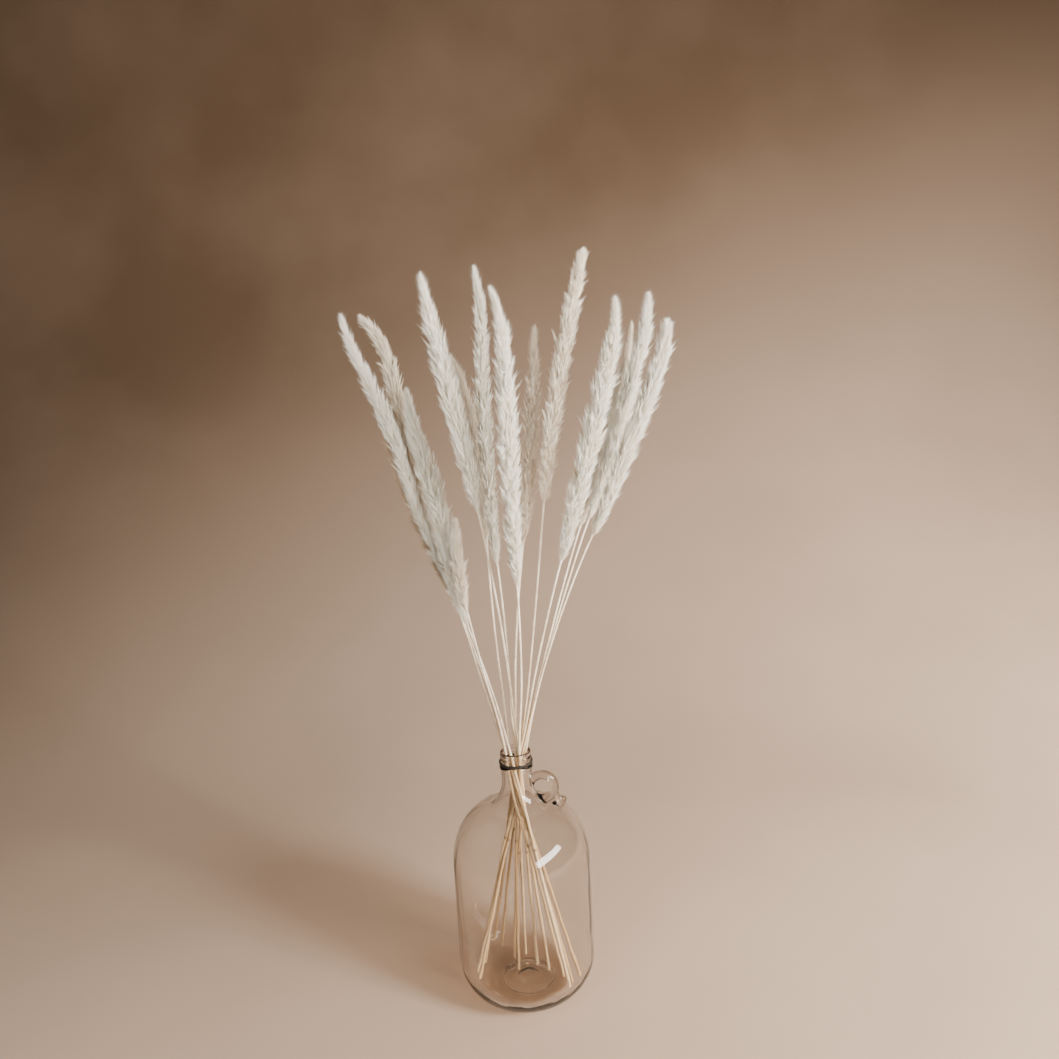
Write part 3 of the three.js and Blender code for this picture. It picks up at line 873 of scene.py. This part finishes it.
# %% The plume tree: inputs
plume_tree = group_of("Plume", GEOMETRY_ENDS + [
    ("Locks", "NodeSocketInt", 150, "INPUT"),
    ("Tufts per Lock", "NodeSocketInt", 8, "INPUT"),
    ("Lock Length", "NodeSocketFloat", 0.045, "INPUT"),
    ("Hair Length", "NodeSocketFloat", 0.02, "INPUT"),
    ("Hair Thickness", "NodeSocketFloat", 0.0002, "INPUT"),
    ("Hairs per Tuft", "NodeSocketInt", 6, "INPUT"),
    ("Fullness", "NodeSocketFloat", 0.8, "INPUT"),
    ("Flare", "NodeSocketFloat", 0.3, "INPUT"),
    ("Tip Narrowing", "NodeSocketFloat", 0.22, "INPUT"),
    ("Stray Hair", "NodeSocketFloat", 0.0, "INPUT"),
    ("Seed", "NodeSocketInt", 0, "INPUT"),
], "GeometryNodeTree")
given = put(plume_tree, "NodeGroupInput").outputs
print("plume inputs:", len(given) - 1)  # the last socket is an empty one

# %% [markdown]
# Sums on numbers and vectors are nodes too, and so are random values. A random value is fixed by the key
# it is drawn for, the tree's seed and a salt, which is a different number at each use. So the plumes come
# out the same every time, and no two uses share a draw.

# %% The plume tree: sums and chances
def maths(operation, a, b=0.0, tree=plume_tree):
    """One sum on numbers."""
    return put(tree, "ShaderNodeMath", {"operation": operation}, Value=a, Value_001=b).outputs["Value"]


def vectors(operation, a, b, result="Vector"):
    """One sum on vectors."""
    return put(plume_tree, "ShaderNodeVectorMath", {"operation": operation}, Vector=a,
               Vector_001=b).outputs[result]


def times(vector, number):
    """A vector made longer or shorter."""
    return put(plume_tree, "ShaderNodeVectorMath", {"operation": "SCALE"}, Vector=vector,
               Scale=number).outputs["Vector"]


def chance(low, high, key, salt):
    """A random number for each key; the salt keeps one use apart from another."""
    node = put(plume_tree, "FunctionNodeRandomValue", {"data_type": "FLOAT"}, Min_001=low, Max_001=high,
               ID=key, Seed=maths("ADD", given["Seed"], float(salt)))
    return socket_of(node.outputs, "Value_001")


def chance_vector(low, high, key, salt):
    """A random vector for each key."""
    node = put(plume_tree, "FunctionNodeRandomValue", {"data_type": "FLOAT_VECTOR"}, Min=low, Max=high,
               ID=key, Seed=maths("ADD", given["Seed"], float(salt)))
    return socket_of(node.outputs, "Value")


def stored(geometry, name, value):
    """The geometry with a value kept at its points."""
    return put(plume_tree, "GeometryNodeStoreNamedAttribute", {"data_type": "FLOAT", "domain": "POINT"},
               Geometry=geometry, Name=name, Value=value).outputs["Geometry"]


print("sums and chances:", ", ".join(helper.__name__ for helper in (maths, vectors, times, chance)))

# %% [markdown]
# The hairs of a tuft start a little apart and lean a little, each its own way. Then every point moves by
# how far up its hair it is: the hairs draw together, and all of them curve to one side. That height is
# also kept as an attribute, so the material can make the tips paler, partly as painted light.

# %% The plume tree: one tuft
TUFT_WIDTH = 0.0008  # how far to each side of its middle a tuft's hairs start
TUFT_DEPTH = 4 * TUFT_WIDTH  # and how far up or down it
TUFT_TAPER = 0.35  # how far they draw together towards its tip
HAIR_TILT = 0.18
HAIR_BEND = 0.16
HAIR_SIZES = ((0.8, 0.8, 0.6), (1.2, 1.2, 1.15))

index = put(plume_tree, "GeometryNodeInputIndex").outputs["Index"]
spike = put(plume_tree, "GeometryNodeMeshCone", Vertices=3, Side_Segments=1, Radius_Top=0.0,
            Radius_Bottom=given["Hair Thickness"], Depth=given["Hair Length"])
hair_start = chance_vector((-TUFT_WIDTH, -TUFT_WIDTH, -TUFT_DEPTH),
                           (TUFT_WIDTH, TUFT_WIDTH, TUFT_DEPTH), index, 1)
starts = put(plume_tree, "GeometryNodePoints", Count=given["Hairs per Tuft"], Position=hair_start)
hair_turn = chance_vector((-HAIR_TILT, -HAIR_TILT, -math.pi), (HAIR_TILT, HAIR_TILT, math.pi), index, 2)
tilt = put(plume_tree, "FunctionNodeEulerToRotation", Euler=hair_turn)
hairs = put(plume_tree, "GeometryNodeInstanceOnPoints", Points=starts.outputs["Points"],
            Instance=spike.outputs["Mesh"], Rotation=tilt.outputs["Rotation"],
            Scale=chance_vector(*HAIR_SIZES, index, 3))
loose = put(plume_tree, "GeometryNodeRealizeInstances", Geometry=hairs.outputs["Instances"])
position = put(plume_tree, "GeometryNodeInputPosition").outputs["Position"]
hair_point = put(plume_tree, "ShaderNodeSeparateXYZ", Vector=position).outputs
up_hair = put(plume_tree, "ShaderNodeMapRange", Value=hair_point["Z"],
              From_Max=given["Hair Length"]).outputs["Result"]
bend_by = maths("MULTIPLY", maths("MULTIPLY", up_hair, up_hair),
                maths("MULTIPLY", given["Hair Length"], HAIR_BEND))
drawn_in = maths("MULTIPLY", up_hair, -TUFT_TAPER)
moved = put(plume_tree, "ShaderNodeCombineXYZ", Y=maths("MULTIPLY", hair_point["Y"], drawn_in),
            X=maths("ADD", bend_by, maths("MULTIPLY", hair_point["X"], drawn_in)))
curled = put(plume_tree, "GeometryNodeSetPosition", Geometry=loose.outputs["Geometry"],
             Offset=moved.outputs["Vector"])
tuft = stored(curled.outputs["Geometry"], "tip", up_hair)
print("plume tree nodes so far:", len(plume_tree.nodes))

# %% [markdown]
# Next come the tufts' places along the axis. Locks are rooted at even chances all the way up, a little
# closer together towards the foot. A tuft's place is its lock's root plus its share of the lock's length,
# and no lock runs past the tip. The axis gives its centre, its direction and the plume's half width
# there.

# %% The plume tree: places along the axis
ROOT_CROWDING = 1.1  # above 1 there are more roots near the foot
LAST_ROOT = 0.965  # of the axis
LAST_TUFT = 0.998
LOCK_LENGTHS = (0.65, 1.3)  # times the Lock Length
CLOSING_LENGTH = 0.045  # over this length the plume draws in to its tip

axis = put(plume_tree, "GeometryNodeMeshToCurve", Mesh=given["Geometry"]).outputs["Curve"]
axis_length = put(plume_tree, "GeometryNodeCurveLength", Curve=axis).outputs["Length"]
per_lock = given["Tufts per Lock"]
lock = maths("FLOOR", maths("DIVIDE", maths("ADD", index, 0.5), per_lock))
up_lock = maths("DIVIDE", maths("SUBTRACT", index, maths("MULTIPLY", lock, per_lock)),
                maths("SUBTRACT", per_lock, 1.0))
stratum = maths("DIVIDE", maths("ADD", lock, chance(0.0, 1.0, lock, 11)), given["Locks"])
root = maths("MULTIPLY", maths("POWER", stratum, ROOT_CROWDING), LAST_ROOT)
left_over = maths("MULTIPLY", maths("SUBTRACT", 1.0, root), axis_length)
full_length = maths("MULTIPLY", given["Lock Length"], chance(*LOCK_LENGTHS, lock, 12))
lock_length = maths("MINIMUM", full_length, left_over)
along_lock = maths("DIVIDE", maths("MULTIPLY", up_lock, lock_length), axis_length)
place_share = maths("MINIMUM", LAST_TUFT, maths("ADD", root, along_lock))
half_width = put(plume_tree, "GeometryNodeInputNamedAttribute", {"data_type": "FLOAT"}, Name="half_width")
sample = put(plume_tree, "GeometryNodeSampleCurve",
             {"data_type": "FLOAT", "mode": "FACTOR", "use_all_curves": True},
             Curves=axis, Value=half_width.outputs["Attribute"], Factor=place_share).outputs
to_end = maths("MULTIPLY", maths("SUBTRACT", 1.0, place_share), axis_length)
closing = put(plume_tree, "ShaderNodeMapRange", Value=to_end, From_Max=CLOSING_LENGTH,
              To_Min=given["Tip Narrowing"]).outputs["Result"]
print("plume tree nodes so far:", len(plume_tree.nodes))

# %% [markdown]
# A lock turns by the golden angle from the one before it, so no two locks line up, and moves outwards
# while it rises. How far out it may go is the plume's own half width at that height, less near the tip.
# Hairs get shorter there too, so that the plume closes. Some locks low on the left have come loose, few
# or many as each plume says: they lean out further, and the material makes them brown.

# %% The plume tree: places round the axis
GOLDEN_ANGLE = math.pi * (3 - math.sqrt(5))
LOCK_STRAY = 1.4  # how far a lock may leave its place round the axis
TUFT_STRAY = 0.6  # how far round the axis a tuft may leave its lock
LEAST_REACH = 0.05
REACH_POWER = 0.5  # below 1 more locks reach far out
FIRST_REACH = 0.1  # a lock's first tuft stands this share of its way out
REACH_CURVE = 0.8  # below 1 a lock moves out sooner
LOOSE_SIDE = 0.75  # loose locks point this much to the left or more
LOOSE_BELOW = 0.55  # of the axis
FLARE_RANGE = (0.4, 1.5)  # times the Flare
STRAY_FLARE = 0.55  # what a loose lock leans out by as well
TUFT_JITTER = 0.18
TUFT_LENGTHS = (0.6, 1.25)
SHORTEST_HAIR = 0.45  # at the very tip
FULL_TURN = 6.283  # in radians, rounded

side = vectors("CROSS_PRODUCT", sample["Tangent"], sample["Normal"])
lock_angle = maths("ADD", maths("MULTIPLY", lock, GOLDEN_ANGLE), chance(-LOCK_STRAY, LOCK_STRAY, lock, 13))
around = maths("ADD", lock_angle, chance(-TUFT_STRAY, TUFT_STRAY, index, 20))
outward = vectors("ADD", times(sample["Normal"], maths("COSINE", around)),
                  times(side, maths("SINE", around)))
room_out = maths("MULTIPLY", maths("MULTIPLY", sample["Value"], given["Fullness"]), closing)
moved_out = maths("ADD", FIRST_REACH,
                  maths("MULTIPLY", 1 - FIRST_REACH, maths("POWER", up_lock, REACH_CURVE)))
lock_reach = maths("POWER", chance(LEAST_REACH, 1.0, lock, 14), REACH_POWER)
reach_out = maths("MULTIPLY", lock_reach, moved_out)
way_out = times(outward, maths("MULTIPLY", room_out, reach_out))
tuft_place = vectors("ADD", sample["Position"], way_out)
left_side = vectors("DOT_PRODUCT", outward, (-1, 0, 0), "Value")
may_stray = maths("MULTIPLY", maths("GREATER_THAN", left_side, LOOSE_SIDE),
                  maths("LESS_THAN", place_share, LOOSE_BELOW))
stray = maths("MULTIPLY", may_stray, maths("LESS_THAN", chance(0.0, 1.0, lock, 21), given["Stray Hair"]))
leaning = maths("ADD", maths("MULTIPLY", given["Flare"], chance(*FLARE_RANGE, lock, 15)),
                maths("MULTIPLY", stray, STRAY_FLARE))
jitter = chance_vector([-TUFT_JITTER] * 3, [TUFT_JITTER] * 3, index, 16)
leaned = vectors("ADD", sample["Tangent"], times(outward, leaning))
tuft_way = vectors("ADD", leaned, jitter)
aligned = put(plume_tree, "FunctionNodeAlignRotationToVector", {"axis": "Z"}, Vector=tuft_way)
roll = put(plume_tree, "FunctionNodeAxisAngleToRotation", Axis=(0, 0, 1),
           Angle=chance(0.0, FULL_TURN, index, 17))
turned = put(plume_tree, "FunctionNodeRotateRotation", {"rotation_space": "LOCAL"},
             Rotation=aligned.outputs["Rotation"], Rotate_By=roll.outputs["Rotation"])
past_tip = maths("DIVIDE", to_end, maths("MULTIPLY", 2.0, given["Hair Length"]))
shorter = maths("MINIMUM", 1.0, maths("ADD", SHORTEST_HAIR, past_tip))
hair_scale = maths("MULTIPLY", shorter, chance(*TUFT_LENGTHS, index, 18))
print("plume tree nodes so far:", len(plume_tree.nodes))

# %% [markdown]
# Each point keeps its lock's tone, how far out it is and whether it is loose. Realize Instances hands all
# three on to every hair, where the material reads them. The tree ends in Realize Instances and Set
# Material, because instances don't outlive an export.

# %% The plume tree: tufts on points
cloud = put(plume_tree, "GeometryNodePoints", Count=maths("MULTIPLY", given["Locks"], per_lock),
            Position=tuft_place).outputs["Points"]
for name, value in (("tone", chance(0.0, 1.0, lock, 19)), ("reach", reach_out), ("stray", stray)):
    cloud = stored(cloud, name, value)
tuft_scale = put(plume_tree, "ShaderNodeCombineXYZ", X=closing, Y=closing, Z=hair_scale).outputs["Vector"]
grown = put(plume_tree, "GeometryNodeInstanceOnPoints", Points=cloud, Instance=tuft,
            Rotation=turned.outputs["Rotation"], Scale=tuft_scale)
real = put(plume_tree, "GeometryNodeRealizeInstances", Geometry=grown.outputs["Instances"])
coated = put(plume_tree, "GeometryNodeSetMaterial", Geometry=real.outputs["Geometry"],
             Material=given["Material"])
put(plume_tree, "NodeGroupOutput", Geometry=coated.outputs["Geometry"])
print("plume tree nodes:", len(plume_tree.nodes))

# %% [markdown]
# Dried plumes are ivory where the hair is loose, and warmer where it is packed round the axis. So the
# colour runs from deep to pale with how far out a lock is and how far up its hair a point is. Part of
# that is painted shade and light: the hair packed round the axis is darker where shade falls between the
# locks, and the outer locks and hair tips are paler where light comes through them. Some locks are older
# and yellower than the rest, and loose locks are brown. Six of the plumes are a warmer cream, which is a
# second material from the same function. The silk has a soft sheen at grazing angles and no clear gloss.

# %% Silk
REACH_SHARE = 0.55  # how much of the paleness comes from how far out a lock is
TIP_SHARE = 0.45  # and how much from how far up its hair a point is
OLD_SHARE = 0.4
OLD_RARITY = 3.0  # a higher power leaves fewer old locks
STRAY_BROWN = (0.38, 0.27, 0.17, 1)


def silk(name, pale, deep, old):
    """Silky hair that pales towards its tips, partly as painted light, and varies from lock to lock."""
    material, tree, shader, place = principled(
        name, Roughness=0.75, Specular_IOR_Level=0.25, Sheen_Weight=0.3, Sheen_Roughness=0.4)
    # partly painted shade and light: hair near the axis is darker, outer locks and hair tips paler
    out = maths("MULTIPLY", attribute(tree, "reach"), REACH_SHARE, tree)
    paleness_and_painted_light = maths("ADD", out, maths("MULTIPLY", attribute(tree, "tip"), TIP_SHARE, tree), tree)
    body = mixed(tree, paleness_and_painted_light, deep, pale)
    oldness = maths("POWER", attribute(tree, "tone"), OLD_RARITY, tree)
    varied = mixed(tree, maths("MULTIPLY", oldness, OLD_SHARE, tree), body, old)
    patchy = aged(tree, place, varied, old, scale=26.0, amount=0.3)
    final = mixed(tree, attribute(tree, "stray"), patchy, STRAY_BROWN)
    tree.links.new(final, shader.inputs["Base Color"])
    return material


cream_silk = silk("cream_silk", pale=(0.95, 0.97, 0.93, 1), deep=(0.78, 0.70, 0.56, 1),
                  old=(0.84, 0.73, 0.56, 1))
warm_silk = silk("warm_silk", pale=(0.95, 0.91, 0.82, 1), deep=(0.76, 0.64, 0.48, 1),
                 old=(0.78, 0.63, 0.46, 1))
print("silk nodes:", len(cream_silk.node_tree.nodes), len(warm_silk.node_tree.nodes))

# %% [markdown]
# No two plumes are quite alike. Six are a warmer cream. Three end blunt, because their tips are full, and
# the others draw in finely. The first has a skirt of brown loose hair on its lower left, and the others
# only a wisp. These differences are kept apart from the sizes that all plumes share.

# %% How the plumes differ
WARM = {2, 4, 6, 9, 10, 12}
BLUNT = {2, 10, 14}
BLUNT_TIP = 0.6  # below 1 the upper half keeps its width for longer
FINE_TIP = 1.25
BLUNT_NARROWING = 0.75
FINE_NARROWING = 0.22
STRAY_HAIR = {1: 0.9}  # the share of brown stray locks on a plume's lower left side
USUAL_STRAY_HAIR = 0.03


def tipped(half, length, power):
    """The half widths with the upper half made blunter or finer."""
    widest = half.max()
    return widest * (half / widest) ** np.where(length > 0.5 * length[-1], power, 1.0)


print("warm plumes:", sorted(WARM), "blunt plumes:", sorted(BLUNT))

# %% [markdown]
# Now every plume grows on its own line. The number of locks follows the plume's silhouette, so long thin
# plumes are as dense as short wide ones. Locks and hairs are longer on a thicker plume, and each plume
# has its own seed.

# %% Grow the plumes
LOCK_AREA = 8.5e-6  # of the plume's silhouette for each lock, in square metres
TUFTS_PER_LOCK = 9
HAIRS_PER_TUFT = 6
HAIR_THICKNESS = 0.2 * MM
LEAST_LOCK_LENGTH = 8 * MM
LOCK_LENGTH_BY_GIRTH = 0.6
LEAST_HAIR_LENGTH = 6 * MM
HAIR_LENGTH_BY_GIRTH = 0.33
FULLNESS = 0.9
FLARE = 0.36
AXIS_STEP = 4 * MM
SEED_STEP = 100  # wider than the largest salt, so no two plumes share a draw

faces_made = 0
for number, stalk in enumerate(stalks, 1):
    blunt, warm = number in BLUNT, number in WARM
    line, half, length = spaced(stalk["plume"], stalk["half"], AXIS_STEP)
    half = tipped(half, length, BLUNT_TIP if blunt else FINE_TIP)
    girth = float(half.max())
    silhouette = float(np.sum(2 * half) * length[-1] / len(half))
    locks = int(silhouette / LOCK_AREA)
    name = f"silk_{number:02d}"
    mesh = bpy.data.meshes.new(name)
    mesh.from_pydata([tuple(p) for p in line], [(i, i + 1) for i in range(len(line) - 1)], [])
    mesh.attributes.new("half_width", "FLOAT", "POINT").data.foreach_set("value", half.astype(np.float32))
    plume = bpy.data.objects.new(name, mesh)
    scene.collection.objects.link(plume)
    grow(plume, plume_tree, {
        "Material": warm_silk if warm else cream_silk,
        "Locks": locks,
        "Tufts per Lock": TUFTS_PER_LOCK,
        "Lock Length": LEAST_LOCK_LENGTH + LOCK_LENGTH_BY_GIRTH * girth,
        "Hair Length": LEAST_HAIR_LENGTH + HAIR_LENGTH_BY_GIRTH * girth,
        "Hair Thickness": HAIR_THICKNESS,
        "Hairs per Tuft": HAIRS_PER_TUFT,
        "Fullness": FULLNESS,
        "Flare": FLARE,
        "Tip Narrowing": BLUNT_NARROWING if blunt else FINE_NARROWING,
        "Stray Hair": STRAY_HAIR.get(number, USUAL_STRAY_HAIR),
        "Seed": SEED_STEP * number,
    })
    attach(plume, "root")
    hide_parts(f"plume_{number:02d}")
    faces_made += len(plume.data.polygons)
    print(name, "locks", locks, "faces", len(plume.data.polygons))
print("hair faces:", faces_made)  # every face of a hair is a triangle
